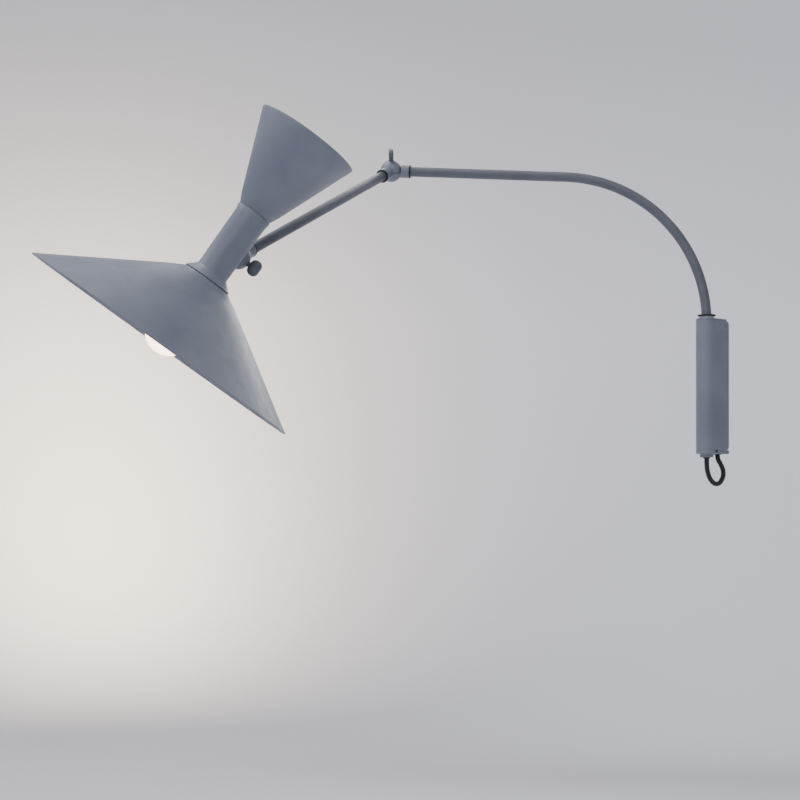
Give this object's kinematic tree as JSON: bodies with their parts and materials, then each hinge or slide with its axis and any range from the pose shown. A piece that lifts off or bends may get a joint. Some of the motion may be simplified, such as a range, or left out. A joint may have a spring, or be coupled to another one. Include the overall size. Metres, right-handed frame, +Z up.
{
  "type": "articulating wall lamp",
  "caption": "Swing-arm wall lamp with a bent main arm, ball elbow, straight lower arm and a tilting head with a wide and a narrow conical shade.",
  "frame": {"origin": "middle of the bracket's back face, on the wall", "axes": "+Z up, -Y out of the wall into the room, +X to the right seen facing the wall"},
  "size_m": [0.3051, 0.7462, 0.3686],
  "materials": {
    "painted_aluminium": "satin powder coat on aluminium, blue-grey",
    "painted_steel": "satin powder coat on steel tube, blue-grey",
    "painted_knob": "satin coat on cast metal, blue-grey",
    "black_nylon": "matt black turned nylon",
    "light_polymer": "light grey moulded acetal",
    "white_polymer": "white moulded heat-proof polymer",
    "zinc_plated_steel": "zinc plated",
    "turned_brass": "turned",
    "nickel_cap": "nickel-plated screw cap",
    "lit_opal_glass": "opal glass, lit warm white",
    "opal_glass": "opal glass, unlit",
    "black_textile_cord": "braided textile sleeve"
  },
  "bodies": {
    "bracket": {"wall_plate": "zinc_plated_steel", "bracket_shell": "painted_aluminium", "top_cap": "painted_aluminium", "bottom_cap": "painted_aluminium", "swivel_barrel": "zinc_plated_steel", "upper_bush": "light_polymer", "lower_bush": "light_polymer", "side_screws": "zinc_plated_steel", "terminal_block": "light_polymer", "terminal_screws": "zinc_plated_steel", "cord_grommet": "black_nylon", "supply_cord": "black_textile_cord", "cord_tail": "black_textile_cord"},
    "main_arm": {"main_arm_tube": "painted_steel", "arm_stop_ring": "black_nylon", "nut_washer": "zinc_plated_steel", "retaining_nut": "zinc_plated_steel", "cord_gland": "black_nylon", "main_arm_cable": "black_textile_cord", "main_arm_spigot": "turned_brass", "main_arm_washer": "black_nylon"},
    "elbow_base": {"elbow_lower_half": "painted_aluminium", "elbow_nut": "zinc_plated_steel"},
    "elbow_fork": {"elbow_upper_half": "painted_aluminium", "elbow_friction_washer": "black_nylon"},
    "elbow_knob": {"elbow_thumb_screw": "painted_knob", "elbow_screw_stud": "zinc_plated_steel"},
    "lower_arm": {"lower_arm_tube": "painted_steel", "lower_arm_top_washer": "black_nylon", "lower_arm_top_spigot": "turned_brass", "lower_arm_cable": "black_textile_cord", "lower_arm_end_spigot": "turned_brass", "lower_arm_end_washer": "black_nylon"},
    "head_knuckle": {"knuckle_arm_half": "painted_aluminium", "knuckle_friction_washer": "black_nylon"},
    "knuckle_knob": {"knuckle_thumb_screw": "painted_knob", "knuckle_screw_stud": "zinc_plated_steel"},
    "head": {"knuckle_head_half": "painted_aluminium", "knuckle_nut": "zinc_plated_steel", "knuckle_screws": "zinc_plated_steel", "head_tube": "painted_aluminium", "big_shade": "painted_aluminium", "small_shade": "painted_aluminium", "holder_bridge": "zinc_plated_steel", "holder_nipple": "zinc_plated_steel", "lower_lampholder": "white_polymer", "upper_lampholder": "white_polymer", "lower_shade_ring": "white_polymer", "upper_shade_ring": "white_polymer", "lower_bulb_cap": "nickel_cap", "lower_bulb_globe": "lit_opal_glass", "upper_bulb_cap": "nickel_cap", "upper_bulb_globe": "opal_glass"}
  },
  "joints": [
    {"name": "wall_swivel", "type": "hinge", "parent": "bracket", "child": "main_arm", "pos_m": [0, -0.024, 0], "axis": [0, 0, 1], "range_deg": [-36, 139]},
    {"name": "elbow_swivel", "type": "hinge", "parent": "main_arm", "child": "elbow_base", "pos_m": [-0.26625, -0.23503, 0.23812], "axis": [-0.7823, -0.6201, 0.0593], "range_deg": [-165, 165]},
    {"name": "elbow_hinge", "type": "hinge", "parent": "elbow_base", "child": "elbow_fork", "pos_m": [-0.26625, -0.23503, 0.23812], "axis": [0.2903, -0.2787, 0.9154], "range_deg": [-185, 33]},
    {"name": "elbow_screw_turn", "type": "hinge", "parent": "elbow_fork", "child": "elbow_knob", "pos_m": [-0.26625, -0.23503, 0.23812], "axis": [0.2903, -0.2787, 0.9154], "range_deg": [0, 720]},
    {"name": "lower_arm_swivel", "type": "hinge", "parent": "elbow_fork", "child": "lower_arm", "pos_m": [-0.26625, -0.23503, 0.23812], "axis": [0.3486, -0.8601, -0.3724], "range_deg": [-170, 170]},
    {"name": "head_swivel", "type": "hinge", "parent": "lower_arm", "child": "head_knuckle", "pos_m": [-0.13867, -0.54983, 0.10182], "axis": [0.3486, -0.8601, -0.3724], "range_deg": [-170, 170]},
    {"name": "head_tilt", "type": "hinge", "parent": "head_knuckle", "child": "head", "pos_m": [-0.13867, -0.54983, 0.10182], "axis": [0.6387, 0.5088, -0.5772], "range_deg": [-40, 69]},
    {"name": "knuckle_screw_turn", "type": "hinge", "parent": "head_knuckle", "child": "knuckle_knob", "pos_m": [-0.13867, -0.54983, 0.10182], "axis": [0.6387, 0.5088, -0.5772], "range_deg": [0, 720]}
  ]
}
